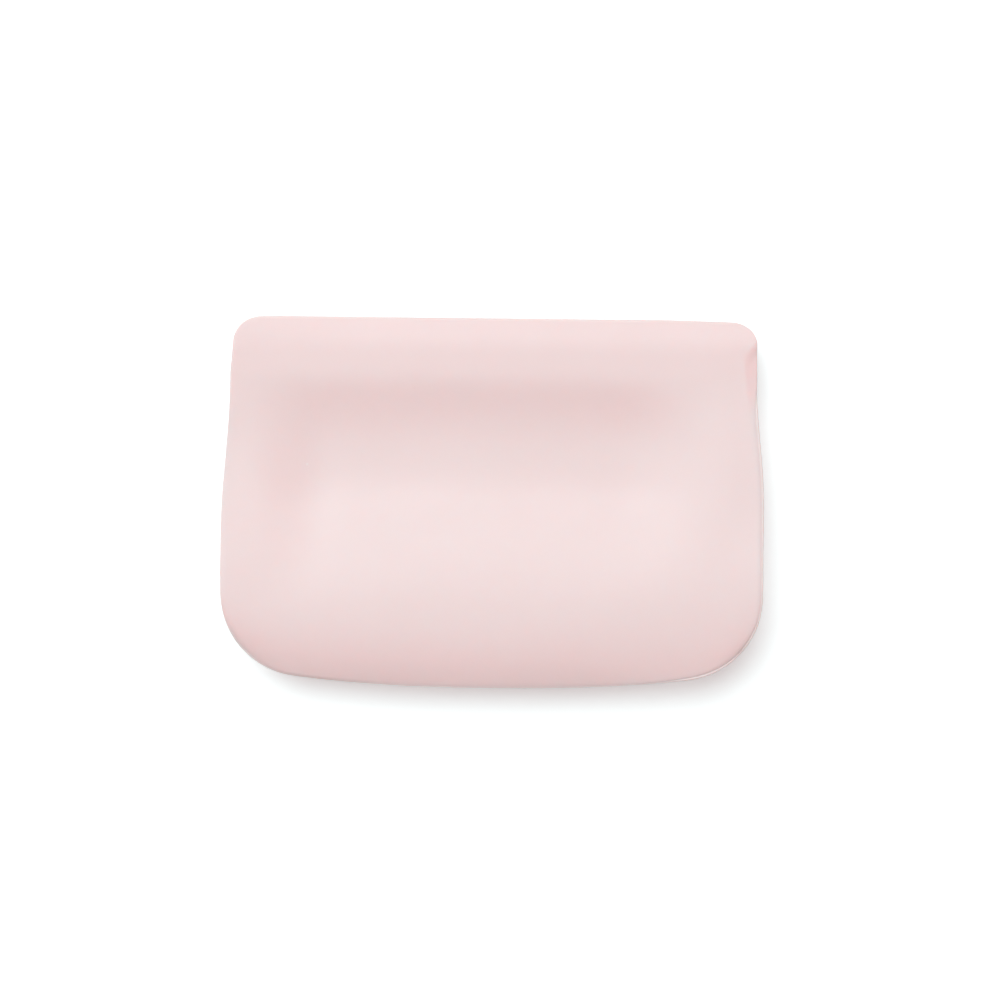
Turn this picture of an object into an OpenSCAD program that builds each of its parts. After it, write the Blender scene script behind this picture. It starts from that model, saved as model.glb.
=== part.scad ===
// Reusable silicone press-seal bag, lying on its back.
// The front faces +Z, the mouth faces +Y, and the left half mirrors the right half about X = 0.

/* [Bag] */
// Greatest width of the pouch, over the seam rim
bag_w = 190; // [175:1:220]
// Height from the bottom edge to the mouth
bag_h = 130; // [120:1:160]
// Width across the mouth
mouth_w = 184; // [165:1:190]
// Plan radius of the two bottom corners, over the seam rim
corner_r = 28.5; // [20:0.5:38]
// Slope of the bottom edge where it leaves the corners, in degrees
bottom_slope = 7; // [3:0.5:12]
// Plan radius of the two mouth corners
mouth_r = 10; // [4:0.5:11.5]
// Distance below the closure over which the sides flare to the full width
flare_drop = 53; // [35:1:60]
// Thickness of the silicone wall
wall = 1.6; // [1.2:0.1:2.2]

/* [Relief] */
// Height of the seam above the surface that the bag lies on
seam_up = 12; // [10:0.5:15]
// Front of the pouch at its fullest, above the seam rim
front_full = 10; // [7:0.5:13]
// Front wall in the valley below the closure, above the seam rim
front_valley = 2.3; // [2.1:0.1:3.2]
// Distance from the closure down to the valley
valley_drop = 21; // [16:1:26]
// Distance over which the valley keeps its depth on the way down
valley_run = 8; // [4:1:14]
// Width over which the valley keeps its depth
valley_w = 114; // [90:1:130]
// Distance over which each end of the valley fades out
valley_fade = 30; // [20:1:36]
// Distance from the bottom edge up to the fullest line of the front
front_crest = 26; // [20:1:34]
// Distance from the closure down to where the back meets the surface
back_drop = 23; // [18:1:28]
// Distance from the bottom edge up to where the back meets the surface
back_crest = 24; // [18:1:32]
// Depth of the moulded back that the surface presses flat
back_press = 0.4; // [0.2:0.1:0.8]
// Power of the curve that rounds the pouch off to its sides, lower is rounder
pouch_power = 8; // [4:0.5:12]
// Power of the same curve beside the closure
rail_power = 30; // [20:1:40]
// Power of the curve that rolls the pouch to its bottom edge, lower is rounder
bottom_power = 3; // [2:0.1:4]

/* [Seam] */
// Thickness of the seam rim
rim_t = 1.2; // [0.8:0.1:1.6]
// Overhang of the seam rim beyond the walls
rim_out = 0.8; // [0.5:0.1:1.2]

/* [Closure] */
// Height of the finger lip above the seal rail
lip_h = 10; // [7:0.5:13]
// Thickness of a finger lip at the mouth
lip_edge = 3; // [1.5:0.1:3.5]
// Height of the seal rail
rail_h = 10; // [9:0.5:13]
// Thickness of each seal rail, from the seam plane
rail_t = 5.4; // [5:0.1:6.2]
// Crown of the seal rail over its thickness
rail_crown = 0.4; // [0.2:0.1:0.8]
// Run of the slope from the wall to the inner face of the rail
rail_slope = 2; // [1.4:0.1:2.3]
// Length of each fused mouth corner
end_len = 16; // [12:1:22]
// Gap between the closed lips
lip_gap = 0.3; // [0.2:0.05:0.5]
// Outward lean of each finger lip at the mouth
lip_flare = 0.5; // [0.2:0.1:0.9]
// Clearance between a moving lip and the walls beside it
flap_gap = 0.4; // [0.3:0.05:0.6]
// Distance from the closure down to the line where the back lip bends
back_flap = 9; // [6:0.5:12]

/* [Seal] */
// Distance from the finger lip down to the seal line
seal_drop = 4; // [3.8:0.1:4.4]
// Width of the seal rib at its root
rib_root = 3.4; // [2.8:0.1:3.8]
// Depth of the seal rib below the lip gap
rib_depth = 2.3; // [1.8:0.1:2.5]
// Draft of each flank of the rib and of the channel, in degrees
rib_draft = 15; // [14:0.5:18]
// Clearance between the rib and the channel
seal_gap = 0.35; // [0.3:0.05:0.5]
// Width of the strip that carries the rib
rib_strip_w = 5.2; // [4.6:0.1:6]
// Depth of the strip that carries the rib
rib_strip_d = 1.2; // [0.8:0.1:1.6]
// Width of the strip that carries the channel
channel_w = 6.6; // [6:0.1:7]
// Silicone left under the channel
channel_floor = 0.6; // [0.4:0.1:0.8]
// Length of rail left free at each end of the seal strips
seal_end = 2; // [1:0.5:5]

/* [Smoothness] */
// Steps across the width of a wall
steps_u = 36; // [24:2:48]
// Steps along a wall from the closure to the fullest line
steps_v = 18; // [12:1:24]
// Steps along a wall from the fullest line to the bottom edge
steps_w = 10; // [6:1:14]

/* [Hidden] */
$fn = 48;
blush = [0.93, 0.77, 0.75];
deep_blush = [0.87, 0.68, 0.66];
pale_blush = [0.96, 0.83, 0.81];

mouth_y = bag_h / 2;
bottom_y = -bag_h / 2;
lip_y = mouth_y - lip_h;
rail_y = lip_y - rail_h;
seal_y = lip_y - seal_drop;
free_x = mouth_w / 2 - end_len;
// Height of the walls at the closure, above the seam rim
rail_up = rail_t - rim_t / 2;

// Each wall: its full height, its height at the neck, the two stations of the neck from the top down,
// the two stations of the full part from the top down, and the height that the ends of the neck rise to
valley_y = rail_y - valley_drop;
crest_y = bottom_y + front_crest;
front_wall = [front_full, front_valley, valley_y, valley_y - valley_run, crest_y, crest_y, rail_up];
back_full = seam_up - rim_t / 2 + back_press;
back_top_y = rail_y - back_drop;
back_wall = [back_full, back_full, back_top_y, back_top_y, back_top_y, bottom_y + back_crest, back_full];

// The hinge lines lie on the outer skin, so that the walls part on the inside when a lip opens
front_hinge_y = valley_y;
back_hinge_y = rail_y - back_flap;

// Plan outline over the seam rim, drawn in by d
corner_cx = bag_w / 2 - corner_r;
function join_x(d) = corner_cx + (corner_r - d) * sin(bottom_slope);
corner_cy = bottom_y + join_x(0) * tan(bottom_slope) / 2 + corner_r * cos(bottom_slope);
function join_y(d) = corner_cy - (corner_r - d) * cos(bottom_slope);
function low_y(d) = join_y(d) - join_x(d) * tan(bottom_slope) / 2;
function mid_x(d) = corner_cx + (corner_r - d) * cos(45 - bottom_slope / 2);
function mid_y(d) = corner_cy - (corner_r - d) * sin(45 - bottom_slope / 2);
function ease(t) = let (c = min(1, max(0, t))) c * c * (3 - 2 * c);
function mix(a, b, t) = a + (b - a) * t;
function side_x(y, d) = mix(mouth_w / 2, bag_w / 2, ease((rail_y - y) / flare_drop)) - d;
function edge_x(y, d) = y > corner_cy
    ? side_x(y, d)
    : corner_cx + sqrt(max(0, pow(corner_r - d, 2) - pow(corner_cy - y, 2)));
function edge_y(x, d) = abs(x) < join_x(d)
    ? low_y(d) + join_x(d) * tan(bottom_slope) / 2 * pow(x / join_x(d), 2)
    : corner_cy - sqrt(max(0, pow(corner_r - d, 2) - pow(abs(x) - corner_cx, 2)));

// Stations across and along a wall, closer together toward the edges
across = [for (i = [0 : steps_u]) sin(90 * (2 * i / steps_u - 1))];
function along(w) = concat(
    [for (j = [0 : steps_v - 1]) mix(rail_y, w[5], j / steps_v)],
    [for (j = [0 : steps_w]) mix(w[5], bottom_y, sin(90 * j / steps_w))]);

// Plan position of the station u across and v along, for an outline drawn in by d
function plan(u, v, d) =
    [u * edge_x(mix(rail_y, mid_y(d), v), d), mix(rail_y, edge_y(u * mid_x(d), d), v)];

// Height of a wall at the distance x from the middle and the station y, before it rounds off to the sides
function neck(x, w) = mix(w[1], w[6], ease((abs(x) - valley_w / 2) / valley_fade));
function relief(x, y, w) = y > w[2]
    ? mix(neck(x, w), rail_up, ease((y - w[2]) / (rail_y - w[2])))
    : y > w[4]
    ? mix(w[0], neck(x, w), ease((y - w[4]) / (w[3] - w[4])))
    : y > w[5]
    ? w[0]
    : w[0] * pow(max(0, 1 - pow((w[5] - y) / (w[5] - bottom_y), 2)), 1 / bottom_power);
// The inner skin lies a wall below, and keeps the shape of the outer one toward the bottom edge
function inner_relief(x, y, w) = y > w[5] ? relief(x, y, w) - wall : relief(x, y, w) * (1 - wall / w[0]);
// Rounding off to the sides, at the share u of the half width
function rounding(u, y) =
    let (t = max(0, (y - crest_y) / (rail_y - crest_y)),
         p = mix(pouch_power, rail_power, pow(t, 3)))
    sqrt(max(0, 1 - pow(abs(u), p)));

function skin(w, d) = [for (y = along(w)) let (v = (rail_y - y) / (rail_y - bottom_y))
    for (u = across) let (p = plan(u, v, d), x = plan(u, v, rim_out)[0])
        [p[0], p[1], (d > rim_out ? inner_relief(x, y, w) : relief(x, y, w)) * rounding(u, y)]];

// A half shell over the plane of the seam, from the closure to the bottom edge
module half_shell(w) {
    n = steps_u + 1;
    rows = steps_v + steps_w;
    far = n * (rows + 1);
    outer_faces = [for (j = [0 : rows - 1]) for (i = [0 : steps_u - 1]) let (a = j * n + i)
        each [[a, a + 1, a + n + 1], [a, a + n + 1, a + n]]];
    inner_faces = [for (f = outer_faces) [far + f[0], far + f[2], far + f[1]]];
    top_edge = [for (i = [0 : steps_u]) steps_u - i];
    left_edge = [for (j = [0 : rows]) j * n];
    low_edge = [for (i = [0 : steps_u]) rows * n + i];
    right_edge = [for (j = [0 : rows]) (rows - j) * n + steps_u];
    edge_faces = [for (e = [top_edge, left_edge, low_edge, right_edge]) for (k = [0 : len(e) - 2])
        each [[e[k], e[k + 1], far + e[k + 1]], [e[k], far + e[k + 1], far + e[k]]]];
    polyhedron(
        concat(skin(w, rim_out), skin(w, rim_out + wall)),
        concat(outer_faces, inner_faces, edge_faces));
}

module front_shell() {
    translate([0, 0, seam_up + rim_t / 2]) half_shell(front_wall);
}

// The back shell is pressed flat where it lies
module back_shell() {
    difference() {
        translate([0, 0, seam_up - rim_t / 2]) mirror([0, 0, 1]) half_shell(back_wall);
        translate([-bag_w, -bag_h, -seam_up]) cube([2 * bag_w, 2 * bag_h, seam_up]);
    }
}

// Room between the side strips, from the station y to the closure
module between(y, half) {
    translate([-half, y, -seam_up]) cube([2 * half, rail_y - y + wall, 4 * seam_up]);
}

// Outer contour of the closure at one side, from the walls up to the mouth, as [y, height over the seam]
crown_steps = 10;
tip_steps = 8;
tip_r = lip_edge / 2;
tip_from = 75;
tip_sweep = 165;
tip_c = [mouth_y - tip_r, lip_flare + lip_gap / 2 + tip_r];
rail_line = [for (i = [0 : crown_steps])
    [mix(rail_y, lip_y, i / crown_steps), rail_t + rail_crown * sin(180 * i / crown_steps)]];
tip_line = [for (i = [0 : tip_steps]) let (a = tip_from - tip_sweep * i / tip_steps)
    [tip_c[0] + tip_r * cos(a), tip_c[1] + tip_r * sin(a)]];

module rail_shape() {
    polygon(concat(rail_line,
        [[lip_y, lip_gap / 2], [rail_y + rail_slope, lip_gap / 2], [rail_y, rail_t - wall]]));
}

module lip_shape() {
    polygon(concat([[lip_y, lip_gap / 2], [lip_y, rail_t]], tip_line));
}

// Draws a shape of [y, height over the seam plane] along X, on the front or on the back
module along_x(from, to, front) {
    translate([from, 0, seam_up]) mirror([0, 0, front ? 0 : 1])
        rotate([90, 0, 90]) linear_extrude(to - from) children();
}

// The strip is centred on the seal line and sunk into the rail from the lip gap
function strip_line(w, d) = [for (p = [[-1, 0], [-1, d], [1, d], [1, 0]])
    [seal_y + p[0] * w / 2, lip_gap / 2 + p[1]]];

// Flanks of the rib and its round tip, grown all round by g, as [y, height] with the point into the other lip
rib_steps = 12;
function rib_line(g, top) =
    let (half = rib_root / 2 + g,
         deep = rib_depth + g,
         tip = (half * cos(rib_draft) - deep * sin(rib_draft)) / (1 - sin(rib_draft)),
         sweep = 180 - 2 * rib_draft)
    concat([[seal_y + half, top], [seal_y + half, 0]],
        [for (i = [0 : rib_steps]) let (a = -rib_draft - sweep * i / rib_steps)
            [seal_y + tip * cos(a), tip - deep + tip * sin(a)]],
        [[seal_y - half, 0], [seal_y - half, top]]);

channel_d = rib_depth + seal_gap + channel_floor;
// Half of the straight part of the outer side of a mouth corner
side_flat = 0.4;

module end_block() {
    side_r = rail_t + rail_crown - side_flat;
    intersection() {
        union() {
            along_x(free_x + flap_gap, mouth_w / 2, true) solid_shape();
            along_x(free_x + flap_gap, mouth_w / 2, false) solid_shape();
        }
        translate([0, 0, -seam_up]) linear_extrude(4 * seam_up) union() {
            translate([0, rail_y]) square([mouth_w / 2, mouth_y - mouth_r - rail_y]);
            translate([0, rail_y]) square([mouth_w / 2 - mouth_r, mouth_y - rail_y]);
            translate([mouth_w / 2 - mouth_r, mouth_y - mouth_r]) circle(mouth_r);
        }
        translate([0, mouth_y, seam_up]) rotate([90, 0, 0]) linear_extrude(bag_h) union() {
            translate([0, -bag_w / 2]) square([mouth_w / 2 - side_r, bag_w]);
            for (s = [-1, 1]) translate([mouth_w / 2 - side_r, s * side_flat]) circle(side_r);
        }
    }
}

module solid_shape() {
    polygon(concat([[rail_y, 0]], rail_line, tip_line, [[mouth_y - tip_r, 0]]));
}

module back_panel() {
    color(blush) difference() {
        back_shell();
        between(back_hinge_y - flap_gap, free_x + flap_gap);
    }
}

module front_panel() {
    color(blush) difference() {
        front_shell();
        between(front_hinge_y - flap_gap, free_x + flap_gap);
    }
}

module seam_rim() {
    ends = [for (y = along(front_wall)) (rail_y - y) / (rail_y - bottom_y)];
    last = len(ends) - 1;
    function line(d) = concat(
        [for (j = [0 : last]) plan(-1, ends[j], d)],
        [for (i = [1 : steps_u]) plan(across[i], 1, d)],
        [for (j = [1 : last]) plan(1, ends[last - j], d)]);
    inner = line(rim_out + wall);
    color(deep_blush) translate([0, 0, seam_up - rim_t / 2]) linear_extrude(rim_t)
        polygon(concat(line(0), [for (k = [1 : len(inner)]) inner[len(inner) - k]]));
}

module left_end_stop() {
    color(pale_blush) mirror([1, 0, 0]) end_block();
}

module right_end_stop() {
    color(pale_blush) end_block();
}

module front_neck_wall() {
    color(blush) intersection() {
        front_shell();
        between(front_hinge_y, free_x);
    }
}

module front_seal_rail() {
    color(blush) difference() {
        along_x(-free_x, free_x, true) rail_shape();
        along_x(seal_end - free_x, free_x - seal_end, true) polygon(strip_line(rib_strip_w, rib_strip_d));
    }
}

module front_finger_lip() {
    color(pale_blush) along_x(-free_x, free_x, true) lip_shape();
}

module seal_rib() {
    color(deep_blush) along_x(seal_end - free_x, free_x - seal_end, true)
        polygon(concat(rib_line(0, lip_gap / 2), strip_line(rib_strip_w, rib_strip_d)));
}

module back_neck_wall() {
    color(blush) intersection() {
        back_shell();
        between(back_hinge_y, free_x);
    }
}

module back_seal_rail() {
    color(blush) difference() {
        along_x(-free_x, free_x, false) rail_shape();
        along_x(seal_end - free_x, free_x - seal_end, false) polygon(strip_line(channel_w, channel_d));
    }
}

module back_finger_lip() {
    color(pale_blush) along_x(-free_x, free_x, false) lip_shape();
}

module seal_channel() {
    color(deep_blush) difference() {
        along_x(seal_end - free_x, free_x - seal_end, false) polygon(strip_line(channel_w, channel_d));
        along_x(-free_x, free_x, true) polygon(rib_line(seal_gap, rail_t));
    }
}

back_panel();
front_panel();
seam_rim();
left_end_stop();
right_end_stop();
front_neck_wall();
front_seal_rail();
front_finger_lip();
seal_rib();
back_neck_wall();
back_seal_rail();
back_finger_lip();
seal_channel();
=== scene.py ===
import math

import bmesh
import bpy
import numpy as np
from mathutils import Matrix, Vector


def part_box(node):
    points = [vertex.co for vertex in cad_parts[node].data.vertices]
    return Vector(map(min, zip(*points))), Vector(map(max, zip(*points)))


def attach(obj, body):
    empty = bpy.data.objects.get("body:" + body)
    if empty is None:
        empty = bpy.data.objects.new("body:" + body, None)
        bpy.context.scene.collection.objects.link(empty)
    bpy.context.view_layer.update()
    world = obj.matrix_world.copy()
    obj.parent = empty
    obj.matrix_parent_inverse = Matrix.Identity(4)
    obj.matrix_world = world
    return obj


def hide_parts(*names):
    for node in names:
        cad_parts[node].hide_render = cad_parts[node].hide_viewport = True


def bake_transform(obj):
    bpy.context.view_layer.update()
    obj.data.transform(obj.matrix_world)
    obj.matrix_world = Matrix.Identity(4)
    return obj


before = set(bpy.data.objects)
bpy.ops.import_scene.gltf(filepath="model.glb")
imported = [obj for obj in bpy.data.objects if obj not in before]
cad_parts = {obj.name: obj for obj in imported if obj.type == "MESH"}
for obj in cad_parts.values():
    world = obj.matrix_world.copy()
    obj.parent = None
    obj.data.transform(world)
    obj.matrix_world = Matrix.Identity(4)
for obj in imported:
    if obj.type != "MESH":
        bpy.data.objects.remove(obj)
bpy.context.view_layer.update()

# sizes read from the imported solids, in metres
rimLow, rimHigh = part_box("seam_rim")
railLow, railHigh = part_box("front_seal_rail")
ribLow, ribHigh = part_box("seal_rib")
channelLow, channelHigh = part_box("seal_channel")
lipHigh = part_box("front_finger_lip")[1]
seamZ = (rimLow.z + rimHigh.z) / 2
rimHalf = (rimHigh.z - rimLow.z) / 2
halfWidth = rimHigh.x
shorterBy = 0.0009  # the bag in the picture is a little shorter than the solids
bottomY = rimLow.y + shorterBy
railY = rimHigh.y
lipY = railHigh.y
mouthY = lipHigh.y
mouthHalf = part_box("right_end_stop")[1].x
freeX = lipHigh.x
halfGap = railLow.z - seamZ
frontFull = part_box("front_panel")[1].z - rimHigh.z
sealY = (ribLow.y + ribHigh.y) / 2
sealX = ribHigh.x


def ease(t):
    c = np.clip(t, 0, 1)
    return c * c * (3 - 2 * c)


def mix(a, b, t):
    return a + (b - a) * t


def root(value):
    return np.sqrt(np.maximum(value, 0))


# the left or the right value of a pair
def bySide(pair, x):
    return np.where(x > 0, pair[1], pair[0])


# plan outline of the bag, over the seam rim
outline = {
    "cornerRadius": 0.0293,
    "bottomSlope": math.radians(7.1),  # where the bottom edge leaves the corners
    "bottomPower": 2.4,  # and how flat it is in the middle
    "flareDrop": (0.053, 0.045),  # the left and the right side reach full width this far below the closure
    "mouthRadius": (0.0098, 0.0090),  # left and right mouth corner
    "mouthTaper": (0.0008, 0.0002),  # the ends lean in by this towards the mouth
    "rimOut": (0.0003, 0.0005, 0.0013),  # overhang of the rim on the left, at the bottom and on the right
    "rimTop": 0.15,  # the share of it beside the closure
    "rimRun": (0.036, 0.012),  # below the closure, on the left and on the right
    "rimTurns": (0.056, 0.080),  # between these it changes from the bottom to the sides
    "rimCorner": 0.0006,  # more of it round the left bottom corner
    "cornerSpread": 0.030,
    "droop": (0.0003, 0.0006),  # the ends of the mouth hang a little
    "droopRun": (0.020, 0.035),
    "seamLift": (0.88, 0.96, 0.95),  # rise of the seam as a share of the front's height: left, bottom, right
    "liftTurns": (0.030, 0.062),  # between these it changes from the bottom to the sides
    "liftRun": (0.018, 0.010),  # it starts over this run below the closure, on the left and on the right
    "turnIn": 0.10,  # and its move inwards, as a share of the rise
    "insetStep": 0.001,  # over which an inset counts as even
}
cornerR = outline["cornerRadius"]
slope = outline["bottomSlope"]
cornerX = halfWidth - cornerR
cornerMid = math.pi / 4 - slope / 2


def joinX(d):
    return cornerX + (cornerR - d) * math.sin(slope)


def bottomRise(d):
    return joinX(d) * math.tan(slope) / outline["bottomPower"]


cornerY = bottomY + bottomRise(0) + cornerR * math.cos(slope)


def edgeX(u, y, d):
    side = mix(mouthHalf, halfWidth, ease((railY - y) / bySide(outline["flareDrop"], u))) - d
    return np.where(y > cornerY, side, cornerX + root((cornerR - d) ** 2 - (cornerY - y) ** 2))


def edgeY(x, d):
    low = cornerY - (cornerR - d) * math.cos(slope) - bottomRise(d)
    flat = low + bottomRise(d) * np.abs(x / joinX(d)) ** outline["bottomPower"]
    corner = cornerY - root((cornerR - d) ** 2 - (np.abs(x) - cornerX) ** 2)
    return np.where(np.abs(x) < joinX(d), flat, corner)


# place in plan of the station u across and v down from the closure, drawn in by d
def plan(u, v, d):
    midY = cornerY - (cornerR - d) * math.sin(cornerMid)
    midX = cornerX + (cornerR - d) * math.cos(cornerMid)
    return u * edgeX(u, mix(railY, midY, v), d), mix(railY, edgeY(u * midX, d), v)


# plan() for an inset that changes along the outline
def planVarying(u, v, d):
    step = outline["insetStep"]
    nearX, nearY = plan(u, v, 0)
    farX, farY = plan(u, v, step)
    return mix(nearX, farX, d / step), mix(nearY, farY, d / step)


# radius of a mouth corner, and how far its centre leans in
def mouthCorner(side):
    return bySide(outline["mouthRadius"], side), bySide(outline["mouthTaper"], side)


# half width beside the closure, and the mouth above it, with the round mouth corners
def mouthX(u, y, d):
    radius, taper = mouthCorner(u)
    centreY = mouthY - radius
    lean = taper * np.clip((y - railY) / (centreY - railY), 0, 1)
    over = np.clip(y - centreY, 0, radius - d)
    return mouthHalf - lean - radius + root((radius - d) ** 2 - over ** 2)


def mouthTop(x, d):
    radius, taper = mouthCorner(x)
    over = np.clip(np.abs(x) - mouthHalf + taper + radius, 0, radius - d)
    return mouthY - radius + root((radius - d) ** 2 - over ** 2)


# place in plan of the station u across and the share s of the way up the closure, drawn in by d
def mouthPlan(u, s, d, out):
    radius, taper = mouthCorner(u)
    middle = (radius - d) * math.sqrt(0.5) - radius
    edge = mouthX(u, mix(railY, mouthY + middle, s), d)
    return u * (edge - out), mix(railY, mouthTop(u * (mouthHalf - taper + middle), d), s)


# a setting that differs on the left, at the bottom and on the right
def roundEdge(setting, turns, x):
    left, bottom, right = outline[setting]
    near, far = outline[turns]
    return mix(bottom, np.where(x > 0, right, left), ease((np.abs(x) - near) / (far - near)))


# overhang of the rim, at a place in plan
def rimOut(x, y):
    midX = cornerX + cornerR * math.cos(cornerMid)
    midY = cornerY - cornerR * math.sin(cornerMid)
    out = roundEdge("rimOut", "rimTurns", x)
    out = out + outline["rimCorner"] * ease(1 - np.hypot(x + midX, y - midY) / outline["cornerSpread"])
    out = out * mix(outline["rimTop"], 1, ease((railY - y) / bySide(outline["rimRun"], x)))
    return out * ease((mouthY - y) / (mouthY - lipY))


# how far the ends of the mouth hang, at a place in plan
def mouthDroop(x, y):
    run = bySide(outline["droopRun"], x)
    share = ease((np.abs(x) - mouthHalf + run) / run) * ease((y - lipY) / (mouthY - lipY))
    return bySide(outline["droop"], x) * share


# a smooth line through a few given points, as (place, height)
def softLine(points, blur):
    places, heights = np.array(sorted(points)).T
    step = roundings["lineStep"]
    reach = roundings["blurReach"] * blur
    grid = np.arange(places[0] - reach, places[-1] + reach, step)
    kernel = np.exp(-0.5 * (np.arange(-reach, reach + step, step) / blur) ** 2)
    raw = np.interp(np.pad(grid, len(kernel) // 2, mode="edge"), places, heights)
    smooth = np.convolve(raw, kernel / kernel.sum(), mode="same")[len(kernel) // 2:][:len(grid)]
    return lambda place: np.interp(place, grid, smooth)


# relief: heights over the rim, at places measured down from the closure
lipLine = [(-0.024, 0.0033), (-0.020, 0.0038), (-0.016, 0.0044), (-0.012, 0.0048),
           (-0.009, 0.0050), (-0.002, 0.0050)]
frontRelief = {
    "centre": [(0.001, 0.0050), (0.004, 0.00465), (0.012, 0.0029), (0.017, 0.0021), (0.0225, 0.0017),
               (0.027, 0.0017), (0.033, 0.0018), (0.038, 0.0021), (0.042, 0.0027), (0.050, 0.0047),
               (0.063, 0.0076), (0.071, 0.0090), (0.078, 0.0098), (0.084, frontFull), (0.120, frontFull)],
    "left": [(0.001, 0.0050), (0.012, 0.0048), (0.026, 0.0049), (0.036, 0.0053), (0.044, 0.0060),
             (0.056, 0.0076), (0.064, 0.0087), (0.074, 0.0096), (0.084, frontFull), (0.120, frontFull)],
    "right": [(0.001, 0.0050), (0.012, 0.0053), (0.026, 0.0061), (0.044, 0.0074), (0.064, 0.0088),
              (0.074, 0.0096), (0.084, frontFull), (0.120, frontFull)],
    "crest": 0.084,  # below it the front rolls to the bottom edge
    "valleyEnds": (-0.062, 0.038),  # the valley keeps its depth between these, at the closure
    "valleyFades": (0.026, 0.040),
    "endShift": (0.004, 0.006),  # how far its ends move to the right on the way down
    "endRun": 0.030,
    "late": 0.0035,  # the pouch starts lower beside the left strip
    "lateRun": (-0.050, -0.074),
    "ripple": 0.00008,  # height of the soft waves of a bag that has been handled
    "rippleRun": 0.02,  # they start over this run below the closure
    "waves": [(41, 67, 0.6), (83, -52, 2.1), (23, 118, 4.0)],  # across, along and shift of each
    "sag": 0.55,  # share of the height lost on the way to the bottom edge
    "bottomRoll": (80.0, 5.0),  # powers of the roll at the bottom edge
    "sideRoll": (40.0, 6.0, 5.0),  # and of the roll to the sides, with its change towards the closure
}
# the right end of the rail is pinched to a facet, and the left end of the lip stands a little higher
ends = {
    "facetSlope": 0.36,
    "facetBend": 0.005,  # its fall eases off over this run
    "facetDown": (-0.0085, 0.018),
    "facetX": (0.0868, 0.0898),  # where it starts, at its top and at its foot
    "facetRuns": (0.006, 0.014),
    "lipLift": 0.0007,
    "lipFrom": -0.040,
    "lipRun": 0.045,
}
# the back is pressed flat where it lies
backFull = rimLow.z + 0.0004  # a little past the surface, which then stops it
backRelief = {
    "line": [(0.001, 0.0050), (0.005, 0.0058), (0.010, 0.0079), (0.015, 0.0100), (0.020, 0.0115),
             (0.024, backFull), (0.120, backFull)],
    "crest": 0.084,
    "soft": 0.00012,  # over which it meets the surface
    "sag": 0.12,
    "bottomRoll": (2.2, 2.6),
    "sideRoll": (8.0, 2.0, 8.0),
}
roundings = {
    "blur": 0.0018,  # over the points of the lines
    "blurReach": 4,
    "lineStep": 0.0002,
    "sagPower": 2.6,  # how late the sag sets in
    "sagEnds": (0.026, 0.080),  # the bottom corners, left and right, sag less than the middle
    "sagCorner": (0.88, 0.50),
    "closure": (600.0, 8.0),  # powers of the roll to the ends of the closure
}
wallT = 0.0016  # thickness of the skins
wallFoot = rimHalf * 0.9  # where the walls leave the rim
centreLine = softLine(lipLine + frontRelief["centre"], roundings["blur"])
leftLine = softLine(lipLine + frontRelief["left"], roundings["blur"])
rightLine = softLine(lipLine + frontRelief["right"], roundings["blur"])
backLine = softLine(lipLine + backRelief["line"], roundings["blur"])


def sideRounding(u, y, relief):
    power, rootPower, change = relief["sideRoll"]
    endPower, endRoot = roundings["closure"]
    t = np.clip((y - railY + relief["crest"]) / relief["crest"], 0, 1) ** change
    return np.maximum(1 - np.abs(u) ** mix(power, endPower, t), 0) ** (1 / mix(rootPower, endRoot, t))


# share of the height left by the sag towards the bottom edge, and by the roll at it
def bottomRounding(x, down, relief):
    near, far = roundings["sagEnds"]
    corner = bySide(roundings["sagCorner"], x)
    sag = relief["sag"] * mix(1, corner, ease((np.abs(x) - near) / (far - near)))
    share = np.clip((down - relief["crest"]) / (railY - bottomY - relief["crest"]), 0, 1)
    power, rootPower = relief["bottomRoll"]
    return 1 - sag * share ** roundings["sagPower"], np.maximum(1 - share ** power, 0) ** (1 / rootPower)


def ripple(x, y):
    return frontRelief["ripple"] * sum(np.sin(a * x + b * y + shift) for a, b, shift in frontRelief["waves"])


# fall of the facet at the right end of the rail
def facetFall(x, down):
    (top, low), (topRun, lowRun) = ends["facetDown"], ends["facetRuns"]
    start = mix(*ends["facetX"], np.clip((down - top) / (low - top), 0, 1))
    shown = ease((down - top + x - start) / topRun) * ease((low - down) / lowRun)
    bend = ends["facetBend"]
    return ends["facetSlope"] * bend * (1 - np.exp(-np.maximum(x - start, 0) / bend)) * shown


# height of the front before its edges roll off, and the share left by the roll
def frontParts(x, y, u):
    down = railY - y
    share = ease(down / frontRelief["endRun"])
    (left, right), (leftFade, rightFade) = frontRelief["valleyEnds"], frontRelief["valleyFades"]
    leftShift, rightShift = frontRelief["endShift"]
    toLeft = ease((left + leftShift * share - x) / leftFade)
    toRight = ease((x - right - rightShift * share) / rightFade)
    near, far = frontRelief["lateRun"]
    late = frontRelief["late"] * ease((x - near) / (far - near))
    height = mix(mix(centreLine(down - late * share), leftLine(down), toLeft), rightLine(down), toRight)
    height = height + ripple(x, y) * ease(down / frontRelief["rippleRun"])
    lift = ease((ends["lipFrom"] - x) / ends["lipRun"]) * ease((y - lipY) / (mouthY - lipY))
    height = height + ends["lipLift"] * lift - facetFall(x, down)
    sagged, rolled = bottomRounding(x, down, frontRelief)
    return height * sagged, rolled * sideRounding(u, y, frontRelief)


def frontHeight(x, y, u):
    height, rolled = frontParts(x, y, u)
    return height * rolled


# rise of the seam, and of a wall beside it, at the station u across and v down
def seamRise(u, v, relief=frontRelief):
    x = plan(u, v, 0)[0]
    y = mix(railY, bottomY, v) + 0 * x
    rolled = bottomRounding(x, railY - y, relief)[1] * sideRounding(u, y, relief)
    share = roundEdge("seamLift", "liftTurns", x) * ease((railY - y) / bySide(outline["liftRun"], x))
    return share * frontParts(x, y, u)[0] * (1 - rolled)


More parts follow.
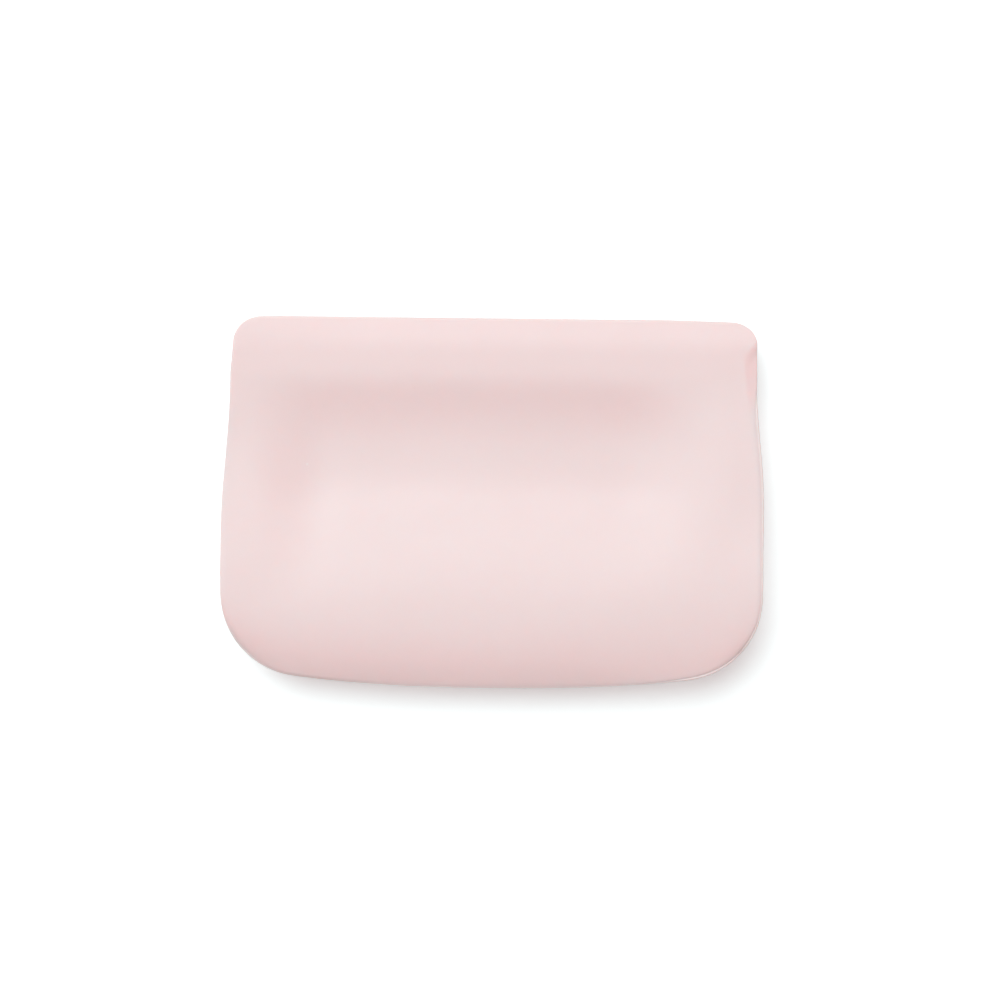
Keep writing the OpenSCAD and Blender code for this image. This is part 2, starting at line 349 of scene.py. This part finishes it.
def backHeight(x, y, u):
    down = railY - y
    sagged, rolled = bottomRounding(x, down, backRelief)
    height = backLine(down) * sagged * rolled * sideRounding(u, y, backRelief)
    soft = backRelief["soft"]
    return rimLow.z - soft * np.log1p(np.exp((rimLow.z - height) / soft))  # no lower than the surface


# stations across and down a skin
stations = {
    "across": 128,
    "wallTop": 46,  # rows from the closure to the crest
    "wallLow": 30,  # rows from the crest to the bottom edge
    "closure": 34,  # rows from the closure's foot to the mouth
    "tip": 10,  # round the tip of the lip
    "lipInside": 14,  # from the mouth down to the seal
    "endStep": 0.00015,  # run of the ends of the seal recess
}
crossings = np.sin(np.linspace(-math.pi / 2, math.pi / 2, stations["across"] + 1))
recessEnds = np.array([sealX, sealX + stations["endStep"]]) / mouthHalf
crossings = np.sort(np.concatenate([crossings, recessEnds, -recessEnds]))
crestShare = frontRelief["crest"] / (railY - bottomY)
descents = np.concatenate([
    np.linspace(0, crestShare, stations["wallTop"], endpoint=False),
    mix(crestShare, 1, np.sin(np.linspace(0, math.pi / 2, stations["wallLow"]))),
])

closure = {
    "slope": 0.0020,  # run from the wall to the inner face of the rail
    "lipFlare": 0.0005,
    "tipRadius": 0.0009,
    "tipFade": 12.0,  # power by which the round of the tip ends at the mouth corners
    "cornerFuse": 0.006,  # run over which the lips grow together
    "lipPower": 2.0,
}


# inner face of a closed lip over the seam plane: shut at the mouth corners
def lipFace(x, y):
    flare = closure["lipFlare"] * np.clip((y - lipY) / (mouthY - lipY), 0, 1) ** closure["lipPower"]
    apart = ease((freeX + closure["cornerFuse"] / 2 - np.abs(x)) / closure["cornerFuse"])
    return (halfGap + flare) * apart


# one wall of the bag with its half of the closure, as a closed skin around its thickness
def wallSkin(name, side, heightAt, relief, recessW, recessD):
    u = crossings[None, :]
    blocks = []

    def wallRows(inset, shares):
        v = shares[:, None]
        x, y = plan(u, v, 0)
        out = rimOut(x, y)
        x, y = planVarying(u, v, out + inset)
        station = mix(railY, bottomY, v) + 0 * u
        outer = heightAt(planVarying(u, v, out)[0], station, u)
        if inset > 0:
            down = railY - station
            crest = frontRelief["crest"]
            full = heightAt(0 * x, mix(railY, bottomY, crestShare) + 0 * x, 0 * u)
            thinned = outer * (1 - wallT / np.maximum(full, wallT * 2))
            outer = np.where(down < crest, outer - wallT * sideRounding(u, station, relief), thinned)
        rise = seamRise(u, v, relief) * (1 - wallT / frontFull if inset > 0 else 1)
        return x - np.sign(u) * outline["turnIn"] * rise, y, outer + wallFoot + side * rise

    # rows at the given stations, drawn in towards the mouth to make room for the round tip
    def closureRows(at, height, turn=math.pi / 2):
        at = np.reshape(at, (-1, 1)) + 0 * u
        share = (at - railY) / (mouthY - railY)
        room = closure["tipRadius"] * (1 - np.abs(u) ** closure["tipFade"])
        inset = room * np.clip((at - lipY) / (mouthY - lipY), 0, 1) * (1 - np.cos(np.reshape(turn, (-1, 1))))
        x, y = mouthPlan(u, share, inset, rimOut(mouthHalf * np.sign(u), at))
        return x, y - mouthDroop(x, y), height(x, y)

    def outerHeight(x, y):
        return heightAt(x, y, u) + wallFoot * ease((mouthY - y) / (mouthY - lipY))

    blocks.append(wallRows(0, descents[::-1]))
    blocks.append(closureRows(np.linspace(railY, mouthY, stations["closure"])[1:], outerHeight))
    turn = np.linspace(math.pi / 2, -math.pi / 2, stations["tip"])[1:-1]

    def tipHeight(x, y):
        x, y = x[:1], y[:1]
        top, low = outerHeight(x, y), lipFace(x, y)
        return (top + low) / 2 + (top - low) / 2 * np.sin(turn)[:, None]

    blocks.append(closureRows(mouthY + 0 * turn, tipHeight, turn))
    topRow = sum(len(block[0]) for block in blocks) - len(turn) // 2 - 1
    blocks.append(closureRows(np.linspace(mouthY, sealY + recessW / 2, stations["lipInside"]), lipFace))

    def recessFloor(x, y):
        return lipFace(x, y) + np.where(np.abs(x) < sealX + stations["endStep"] / 2, recessD, 0)

    blocks.append(closureRows(np.array([sealY + recessW / 2, sealY - recessW / 2]), recessFloor))
    blocks.append(closureRows(np.array([sealY - recessW / 2, railY + closure["slope"]]), lipFace))
    blocks.append(wallRows(wallT, descents))
    x, y, height = (np.concatenate([block[k] for block in blocks]) for k in range(3))
    return skinMesh(name, x, y, seamZ + side * height, topRow)


# faces between two lines of points that both run up to the mouth
def zipFaces(outer, inner, y):
    faces = []
    i = j = 0
    while i < len(outer) - 1 or j < len(inner) - 1:
        if j == len(inner) - 1 or (i < len(outer) - 1 and y[outer[i + 1]] <= y[inner[j + 1]]):
            faces.append([outer[i], outer[i + 1], inner[j]])
            i += 1
        else:
            faces.append([outer[i], inner[j + 1], inner[j]])
            j += 1
    return faces


def skinMesh(name, x, y, z, topRow):
    rows, cols = x.shape
    index = np.arange(rows * cols).reshape(rows, cols)
    after = np.roll(index, -1, axis=0)
    faces = np.stack([index[:, :-1], index[:, 1:], after[:, 1:], after[:, :-1]], -1).reshape(-1, 4).tolist()
    for c in (0, cols - 1):  # the two side edges, closed across the thickness
        faces += zipFaces(index[:topRow + 1, c].tolist(), index[:topRow:-1, c].tolist(), y.ravel())
    return finishMesh(name, np.stack([x, y, z], -1).reshape(-1, 3), faces)


meshing = {
    "weld": 2e-6,
    "sliver": 1e-6,
    "crease": math.radians(60),
    "foldTilt": 0.25,  # painted shade: the rubber is painted pinkest where it leans this far to the bottom edge or to the right, away from the key lamp
}


def finishMesh(name, points, faces, crease=meshing["crease"], thinness=0.0):
    mesh = bpy.data.meshes.new(name)
    mesh.from_pydata(points.tolist(), [], faces)
    work = bmesh.new()
    work.from_mesh(mesh)
    bmesh.ops.remove_doubles(work, verts=work.verts, dist=meshing["weld"])
    bmesh.ops.dissolve_degenerate(work, edges=work.edges, dist=meshing["sliver"])
    bmesh.ops.recalc_face_normals(work, faces=work.faces)
    work.to_mesh(mesh)
    work.free()
    mesh.shade_smooth()
    mesh.set_sharp_from_angle(angle=crease)
    places = np.array([vertex.co for vertex in mesh.vertices])
    rest = mesh.attributes.new("restPlace", "FLOAT_VECTOR", "POINT")
    rest.data.foreach_set("vector", places.astype(np.float32).ravel())
    # painted light: how much paler a piece is painted, standing in for light glowing through thin silicone
    thin = mesh.attributes.new("thinEdge", "FLOAT", "POINT")
    thin.data.foreach_set("value", np.full(len(places), thinness, np.float32))
    # painted shade: how far an upper face leans to the right or to the bottom edge, away from the key lamp,
    # sets how much pinker it is painted
    normals = np.array([normal.vector for normal in mesh.vertex_normals])
    leans = np.hypot(np.maximum(normals[:, 0], 0), np.minimum(normals[:, 1], 0))
    leans = leans * np.maximum(normals[:, 2], 0)  # on upper faces alone
    fold = mesh.attributes.new("pinkFold", "FLOAT", "POINT")
    fold.data.foreach_set("value", np.clip(leans / meshing["foldTilt"], 0, 1).astype(np.float32))
    piece = bpy.data.objects.new(name, mesh)
    bpy.context.scene.collection.objects.link(piece)
    return piece


# a closed bar through rings of points
def barMesh(name, rings, **finishing):
    count, size = rings.shape[:2]
    index = np.arange(count * size).reshape(count, size)
    after = np.roll(index, -1, axis=1)
    faces = np.stack([index[:-1], after[:-1], after[1:], index[1:]], -1).reshape(-1, 4).tolist()
    faces.append(index[0].tolist())
    faces.append(index[-1][::-1].tolist())
    return finishMesh(name, rings.reshape(-1, 3), faces, **finishing)


def bowOpen(piece):
    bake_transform(piece)


frontSkin = wallSkin("frontSkin", 1, frontHeight, frontRelief,
                     ribHigh.y - ribLow.y, ribHigh.z - seamZ - halfGap)
backSkin = wallSkin("backSkin", -1, backHeight, backRelief,
                    channelHigh.y - channelLow.y, seamZ - channelLow.z - halfGap)
print("skins made:", len(frontSkin.data.vertices), "and", len(backSkin.data.vertices), "points")


# seam rim: a thin flange with a round edge, from one mouth corner round the bottom to the other
rim = {
    "edgeSteps": 8,
    "sideSteps": 16,
    "topGap": 0.0004,  # it ends this far below the mouth
    "sink": 0.0009,  # how deep it is bedded in the walls
    "nose": 0.8,  # share of the overhang that its round edge takes
    "leastNose": 1e-6,
    "root": 0.85,  # share of its thickness that is left inside the walls
}


def rimRing():
    sides = mix(mouthY - rim["topGap"], railY, np.sin(np.linspace(0, math.pi / 2, rim["sideSteps"])))[:-1]
    turns = np.linspace(-math.pi / 2, math.pi / 2, rim["edgeSteps"] + 1)
    runs = (("left", sides), ("wallLeft", descents[:-1]), ("low", crossings),
            ("wallRight", descents[::-1][1:]), ("right", sides[::-1]))
    return np.array([rimSection(kind, value, turns) for kind, values in runs for value in values])


def rimRise(kind, value):
    if kind == "low":
        return float(seamRise(np.float64(value), np.float64(1)))
    u = np.float64(-1 if kind in ("left", "wallLeft") else 1)
    return float(seamRise(u, np.float64(value))) if kind in ("wallLeft", "wallRight") else 0.0


def rimSection(kind, value, turns):
    def at(d):
        if kind == "low":
            return np.array(planVarying(np.float64(value), 1.0, d))
        u = -1.0 if kind in ("left", "wallLeft") else 1.0
        if kind in ("wallLeft", "wallRight"):
            return np.array(planVarying(u, np.float64(value), d))
        x = u * (mouthX(u, np.float64(value), 0) - d)
        return np.array([x, value - mouthDroop(x, value)])

    outerPlace = at(0)
    out = float(rimOut(*outerPlace))
    half = rimHalf * float(ease((mouthY - outerPlace[1]) / (mouthY - lipY)))
    rise = rimRise(kind, value)
    middle = seamZ + rise
    turnIn = np.array([math.copysign(outline["turnIn"] * rise, outerPlace[0]), 0])
    nose = min(half, out * rim["nose"]) + rim["leastNose"]
    section = []
    for turn in turns:
        place = at(nose * (1 - math.cos(turn))) - turnIn
        section.append((place[0], place[1], middle + half * math.sin(turn)))
    inner = at(out + rim["sink"]) - turnIn
    section.append((inner[0], inner[1], middle + half * rim["root"]))
    section.append((inner[0], inner[1], middle - half * rim["root"]))
    return section


# painted light: the rim is painted paler, standing in for light glowing through the thin silicone
seamRim = barMesh("seamRim", rimRing(), thinness=1.0)
print("rim made:", len(seamRim.data.vertices), "points")


# press seal: the same section as the solids, drawn along the lips in short steps
seal = {
    "ribRoot": 0.0034,
    "ribDepth": 0.0023,
    "draft": math.radians(15),
    "gap": 0.00035,  # clearance between the rib and the channel
    "crease": math.radians(40),
    "steps": 90,
    "tipSteps": 12,
    "endRun": 0.004,  # the rib tapers out at its ends
    "proud": 0.00002,  # the strips keep this clear of the faces of the skins
}


def ribLine(grow, depth):
    half = seal["ribRoot"] / 2 + grow
    deep = depth + grow
    draft = seal["draft"]
    tip = (half * math.cos(draft) - deep * math.sin(draft)) / (1 - math.sin(draft))
    turns = np.linspace(-draft, draft - math.pi, seal["tipSteps"] + 1)
    tipLine = [(tip * math.cos(a), tip - deep + tip * math.sin(a)) for a in turns]
    return [(half, 0.0)] + tipLine + [(-half, 0.0)]


def drawnStrip(name, sectionAt):
    places = np.linspace(-sealX, sealX, seal["steps"] + 1)
    rings = np.array([[(x, sealY + y, seamZ + z) for y, z in sectionAt(x)] for x in places])
    return barMesh(name, rings, crease=seal["crease"])


def ribSection(x):
    halfStrip = (ribHigh.y - ribLow.y) / 2 - seal["proud"]
    top = ribHigh.z - seamZ - seal["proud"]
    face = halfGap - seal["proud"]
    taper = float(ease((sealX - abs(x)) / seal["endRun"]))
    line = [(y, face + (z - face) * taper) for y, z in ribLine(0, seal["ribDepth"])]
    return [(halfStrip, top), (halfStrip, face)] + line + [(-halfStrip, face), (-halfStrip, top)]


def channelSection(x):
    halfStrip = (channelHigh.y - channelLow.y) / 2 - seal["proud"]
    low = channelLow.z - seamZ + seal["proud"]
    face = -halfGap + seal["proud"]
    groove = [(y, min(z, face)) for y, z in ribLine(seal["gap"], seal["ribDepth"])]
    return [(halfStrip, low), (halfStrip, face)] + groove + [(-halfStrip, face), (-halfStrip, low)]


sealRib = drawnStrip("sealRib", ribSection)
sealChannel = drawnStrip("sealChannel", channelSection)
print("press seal made")


# node groups that the silicones share
def newGroup(name, inputs, outputs):
    group = bpy.data.node_groups.new(name, "ShaderNodeTree")
    for label, kind, value in inputs:
        socket = group.interface.new_socket(label, in_out="INPUT", socket_type=kind)
        if value is not None:
            socket.default_value = value
    for label, kind in outputs:
        group.interface.new_socket(label, in_out="OUTPUT", socket_type=kind)
    return group, group.nodes.new("NodeGroupInput"), group.nodes.new("NodeGroupOutput")


def addNode(tree, kind, **settings):
    node = tree.nodes.new(kind)
    for key, value in settings.items():
        setattr(node, key, value)
    return node


def noiseNode(tree, place, scale, detail):
    noise = addNode(tree, "ShaderNodeTexNoise")
    noise.inputs["Scale"].default_value = scale
    noise.inputs["Detail"].default_value = detail
    tree.links.new(place, noise.inputs["Vector"])
    return noise.outputs["Fac"]


def mathNode(tree, operation, first, second):
    node = addNode(tree, "ShaderNodeMath", operation=operation)
    for socket, value in zip(node.inputs, (first, second)):
        if isinstance(value, (int, float)):
            socket.default_value = value
        else:
            tree.links.new(value, socket)
    return node.outputs[0]


def rangeNode(tree, value, low, high, toLow=0.0, toHigh=1.0):
    node = addNode(tree, "ShaderNodeMapRange", interpolation_type="SMOOTHSTEP")
    for label, number in (("From Min", low), ("From Max", high), ("To Min", toLow), ("To Max", toHigh)):
        node.inputs[label].default_value = number
    tree.links.new(value, node.inputs["Value"])
    return node.outputs["Result"]


def colourMix(tree, share, first, second):
    node = addNode(tree, "ShaderNodeMix", data_type="RGBA")
    sockets = [node.inputs[0], node.inputs[6], node.inputs[7]]  # the factor and the two colours
    for socket, value in zip(sockets, (share, first, second)):
        tree.links.new(value, socket)
    return node.outputs[2]


# scales, shares and windows of the patterns in the groups
patterns = {
    "broadCloud": (22, 2, 0.7), "fineCloud": (260, 3, 0.3), "cloudWindow": (0.35, 0.65),
    "specks": 95, "speckChoice": (0.80, 0.84), "speckSize": (0.030, 0.050),
    "coarseGrain": (900, 3, 0.6), "fineGrain": (3600, 2, 0.4), "mattePatches": (60, 4),
}


# two noises, each as (scale, detail, share), laid over each other
def layeredNoise(tree, place, first, second):
    layers = [mathNode(tree, "MULTIPLY", noiseNode(tree, place, scale, detail), share)
              for scale, detail, share in (first, second)]
    return mathNode(tree, "ADD", *layers)


# random pigment drift, plus painted shade (pinker where faces lean away from the key lamp) and painted light
# (paler thin rim)
def makePigmentGroup():
    plain = (0.8, 0.8, 0.8, 1)
    group, start, end = newGroup(
        "pigmentDrift",
        [("Place", "NodeSocketVector", None),
         ("Thin", "NodeSocketFloat", 0.0), ("Fold", "NodeSocketFloat", 0.0),
         ("Body", "NodeSocketColor", plain), ("Deep", "NodeSocketColor", plain),
         ("Cream", "NodeSocketColor", plain), ("Flush", "NodeSocketColor", plain),
         ("Drift", "NodeSocketFloat", 0.5), ("Edge", "NodeSocketFloat", 0.5)],
        [("Color", "NodeSocketColor")])
    clouds = layeredNoise(group, start.outputs["Place"], patterns["broadCloud"], patterns["fineCloud"])
    picked = rangeNode(group, clouds, *patterns["cloudWindow"])
    share = mathNode(group, "MULTIPLY", picked, start.outputs["Drift"])
    # painted shade: pinker where the face leans away from the key lamp
    flushed = colourMix(group, start.outputs["Fold"], start.outputs["Body"], start.outputs["Flush"])
    tinted = colourMix(group, share, flushed, start.outputs["Deep"])
    # painted light: the thin rim painted paler, standing in for light glowing through it
    thin = mathNode(group, "MULTIPLY", start.outputs["Thin"], start.outputs["Edge"])
    group.links.new(colourMix(group, thin, tinted, start.outputs["Cream"]), end.inputs["Color"])
    return group


def makeDustGroup():
    group, start, end = newGroup(
        "restingDust",
        [("Place", "NodeSocketVector", None), ("Color", "NodeSocketColor", (0.8, 0.8, 0.8, 1)),
         ("Dust", "NodeSocketColor", (0.95, 0.93, 0.9, 1)), ("Amount", "NodeSocketFloat", 0.5)],
        [("Color", "NodeSocketColor")])
    specks = addNode(group, "ShaderNodeTexVoronoi", feature="F1")
    specks.inputs["Scale"].default_value = patterns["specks"]
    group.links.new(start.outputs["Place"], specks.inputs["Vector"])
    pick = addNode(group, "ShaderNodeSeparateColor")
    group.links.new(specks.outputs["Color"], pick.inputs["Color"])
    chosen = rangeNode(group, pick.outputs["Red"], *patterns["speckChoice"])
    size = rangeNode(group, specks.outputs["Distance"], *patterns["speckSize"], 1.0, 0.0)
    mask = mathNode(group, "MULTIPLY", mathNode(group, "MULTIPLY", chosen, size), start.outputs["Amount"])
    dusted = colourMix(group, mask, start.outputs["Color"], start.outputs["Dust"])
    group.links.new(dusted, end.inputs["Color"])
    return group


def makeGrainGroup():
    group, start, end = newGroup(
        "mouldedGrain",
        [("Place", "NodeSocketVector", None),
         ("Matte", "NodeSocketFloat", 0.5), ("Spread", "NodeSocketFloat", 0.1)],
        [("Height", "NodeSocketFloat"), ("Roughness", "NodeSocketFloat")])
    height = layeredNoise(group, start.outputs["Place"], patterns["coarseGrain"], patterns["fineGrain"])
    group.links.new(height, end.inputs["Height"])
    patches = noiseNode(group, start.outputs["Place"], *patterns["mattePatches"])
    sway = mathNode(group, "MULTIPLY", mathNode(group, "SUBTRACT", patches, 0.5), start.outputs["Spread"])
    group.links.new(mathNode(group, "ADD", start.outputs["Matte"], sway), end.inputs["Roughness"])
    return group


pigmentDrift = makePigmentGroup()
restingDust = makeDustGroup()
mouldedGrain = makeGrainGroup()

# finishes of the two silicones, colours in linear light, with a redder colour for painted shade and a paler
# one for painted light
finishes = {
    "bagSilicone": {
        # the redder colour is painted shade on faces that lean away from the key lamp; the paler colour and
        # its share are painted light on the thin rim
        "body": (0.855, 0.672, 0.664, 1), "deep": (0.838, 0.645, 0.636, 1), "cream": (0.900, 0.775, 0.755, 1),
        "flush": (0.915, 0.672, 0.664, 1),
        "drift": 0.25, "edge": 0.7, "dust": 0.25, "matte": 0.50, "spread": 0.12, "bump": 0.10,
        "subsurface": 0.30, "sheen": 0.05,
    },
    "sealSilicone": {
        "body": (0.815, 0.600, 0.590, 1), "deep": (0.795, 0.575, 0.563, 1), "cream": (0.83, 0.64, 0.61, 1),
        "flush": (0.815, 0.600, 0.590, 1),
        "drift": 0.5, "edge": 0.3, "dust": 0.0, "matte": 0.42, "spread": 0.08, "bump": 0.06,
        "subsurface": 0.30, "sheen": 0.0,
    },
}
siliconeOptics = {"ior": 1.50, "scatter": (0.0026, 0.0013, 0.0011), "grainDepth": 0.00004}


def groupNode(tree, group, **values):
    node = addNode(tree, "ShaderNodeGroup", node_tree=group)
    for label, value in values.items():
        node.inputs[label].default_value = value
    return node


def makeSilicone(name):
    finish = finishes[name]
    material = bpy.data.materials.new(name)
    material.use_nodes = True
    tree = material.node_tree
    shader = tree.nodes["Principled BSDF"]
    place = addNode(tree, "ShaderNodeAttribute", attribute_name="restPlace")
    # masks for the painted light on the thin rim and the painted shade on faces leaning away from the key
    # lamp
    thin = addNode(tree, "ShaderNodeAttribute", attribute_name="thinEdge")
    fold = addNode(tree, "ShaderNodeAttribute", attribute_name="pinkFold")
    pigment = groupNode(tree, pigmentDrift, Body=finish["body"], Deep=finish["deep"], Cream=finish["cream"],
                        Flush=finish["flush"], Drift=finish["drift"], Edge=finish["edge"])
    dust = groupNode(tree, restingDust, Amount=finish["dust"])
    grain = groupNode(tree, mouldedGrain, Matte=finish["matte"], Spread=finish["spread"])
    for node in (pigment, dust, grain):
        tree.links.new(place.outputs["Vector"], node.inputs["Place"])
    tree.links.new(thin.outputs["Fac"], pigment.inputs["Thin"])
    tree.links.new(fold.outputs["Fac"], pigment.inputs["Fold"])
    tree.links.new(pigment.outputs["Color"], dust.inputs["Color"])
    tree.links.new(dust.outputs["Color"], shader.inputs["Base Color"])
    tree.links.new(grain.outputs["Roughness"], shader.inputs["Roughness"])
    bump = addNode(tree, "ShaderNodeBump")
    bump.inputs["Strength"].default_value = finish["bump"]
    bump.inputs["Distance"].default_value = siliconeOptics["grainDepth"]
    tree.links.new(grain.outputs["Height"], bump.inputs["Height"])
    tree.links.new(bump.outputs["Normal"], shader.inputs["Normal"])
    shader.inputs["IOR"].default_value = siliconeOptics["ior"]
    shader.inputs["Subsurface Weight"].default_value = finish["subsurface"]
    shader.inputs["Subsurface Radius"].default_value = siliconeOptics["scatter"]
    shader.inputs["Subsurface Scale"].default_value = 1.0
    shader.inputs["Sheen Weight"].default_value = finish["sheen"]
    return material


bagSilicone = makeSilicone("bagSilicone")
sealSilicone = makeSilicone("sealSilicone")

# each piece gets its finish, and the rim is hung on the pouch body
cornerNodes = ("left_end_stop", "right_end_stop")
for piece, body, nodes, material, slotName in (
    (frontSkin, "front_lip", ("front_panel", "front_neck_wall", "front_seal_rail", "front_finger_lip"),
     bagSilicone, "silicone"),
    (backSkin, "back_lip", ("back_panel", "back_neck_wall", "back_seal_rail", "back_finger_lip"),
     bagSilicone, "silicone"),
    (sealRib, "front_lip", ("seal_rib",), sealSilicone, "seal_silicone"),
    (sealChannel, "back_lip", ("seal_channel",), sealSilicone, "seal_silicone"),
    (seamRim, None, ("seam_rim",), bagSilicone, "silicone"),
):
    piece.data.materials.append(material)
    if body:
        bowOpen(piece)
    else:
        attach(piece, "pouch")
    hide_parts(*nodes)
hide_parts(*cornerNodes)
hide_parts(*cornerNodes)


# pale floor, soft cool key from beyond the mouth and the left, weak card on the right, warm even fill
studio = {
    "floorSize": 6.0,
    "floorDrop": 0.0002,
    "floorColour": (0.90, 0.95, 0.95, 1),
    "floorRoughness": 0.9,
    "floorLift": 0.31,  # seen by the camera alone, so that the open floor is white
    "fill": 0.245,
    "fillColour": (1.28, 1.0, 0.985, 1),
}
# azimuths are measured from straight beyond the mouth towards the left
lamps = {
    "softKey": {"elevation": math.radians(60), "azimuth": math.radians(31), "strength": 2.52,
                "angle": math.radians(50), "colour": (0.86, 1.0, 1.01)},
    "sideCard": {"elevation": math.radians(33), "azimuth": math.radians(-82), "strength": 0.2,
                 "angle": math.radians(80), "colour": (1.0, 1.0, 1.0)},
}


def cameraShare(tree):
    path = addNode(tree, "ShaderNodeLightPath")
    seen = mathNode(tree, "MAXIMUM", path.outputs["Is Camera Ray"], path.outputs["Is Glossy Ray"])
    return mathNode(tree, "MAXIMUM", seen, path.outputs["Is Transmission Ray"])


def makeFloor():
    half = studio["floorSize"] / 2
    z = -studio["floorDrop"]
    mesh = bpy.data.meshes.new("floor")
    corners = [(-half, -half, z), (half, -half, z), (half, half, z), (-half, half, z)]
    mesh.from_pydata(corners, [], [(0, 1, 2, 3)])
    floor = bpy.data.objects.new("floor", mesh)
    bpy.context.scene.collection.objects.link(floor)
    material = bpy.data.materials.new("paleFloor")
    material.use_nodes = True
    tree = material.node_tree
    shader = tree.nodes["Principled BSDF"]
    shader.inputs["Base Color"].default_value = studio["floorColour"]
    shader.inputs["Roughness"].default_value = studio["floorRoughness"]
    shader.inputs["Specular IOR Level"].default_value = 0.0
    shader.inputs["Emission Color"].default_value = (1, 1, 1, 1)
    tree.links.new(mathNode(tree, "MULTIPLY", cameraShare(tree), studio["floorLift"]),
                   shader.inputs["Emission Strength"])
    mesh.materials.append(material)


def makeLamp(name):
    settings = lamps[name]
    lamp = bpy.data.lights.new(name, "SUN")
    lamp.energy = settings["strength"]
    lamp.angle = settings["angle"]
    lamp.color = settings["colour"]
    holder = bpy.data.objects.new(name, lamp)
    bpy.context.scene.collection.objects.link(holder)
    level = math.cos(settings["elevation"])
    towards = Vector((-math.sin(settings["azimuth"]) * level, math.cos(settings["azimuth"]) * level,
                      math.sin(settings["elevation"])))
    holder.rotation_euler = (-towards).to_track_quat("-Z", "Y").to_euler()


def makeFill():
    world = bpy.data.worlds.new("evenFill")
    bpy.context.scene.world = world
    world.use_nodes = True
    tree = world.node_tree
    background = tree.nodes["Background"]
    background.inputs["Color"].default_value = studio["fillColour"]
    seen = mathNode(tree, "MULTIPLY", cameraShare(tree), 1 - studio["fill"])
    tree.links.new(mathNode(tree, "ADD", seen, studio["fill"]), background.inputs["Strength"])


# camera straight over the bag, framed as the picture is
view = {
    "imageWidth": 999,
    "imageHeight": 1000,
    "lens": 100.0,
    "sensor": 36.0,
    "metresPerPixel": 0.00035,  # at the height of the seam
    "bagCentre": (492.8, 504.3),  # pixel at the middle of the outline
    "turn": math.radians(0.63),  # the bag lies turned a little clockwise
}


def makeCamera():
    data = bpy.data.cameras.new("overhead")
    data.lens = view["lens"]
    data.sensor_width = view["sensor"]
    data.sensor_fit = "HORIZONTAL"
    camera = bpy.data.objects.new("overhead", data)
    bpy.context.scene.collection.objects.link(camera)
    scale = view["metresPerPixel"]
    right = (view["imageWidth"] / 2 - view["bagCentre"][0]) * scale
    up = (view["bagCentre"][1] - view["imageHeight"] / 2) * scale
    turn = view["turn"]
    distance = scale * view["imageWidth"] * view["lens"] / view["sensor"]
    camera.location = (right * math.cos(turn) - up * math.sin(turn),
                       right * math.sin(turn) + up * math.cos(turn),
                       seamZ + distance)
    camera.rotation_euler = (0, 0, turn)
    bpy.context.scene.camera = camera


makeFloor()
for lampName in lamps:
    makeLamp(lampName)
makeFill()
makeCamera()
bpy.context.scene.view_settings.view_transform = "Standard"
print("studio set")
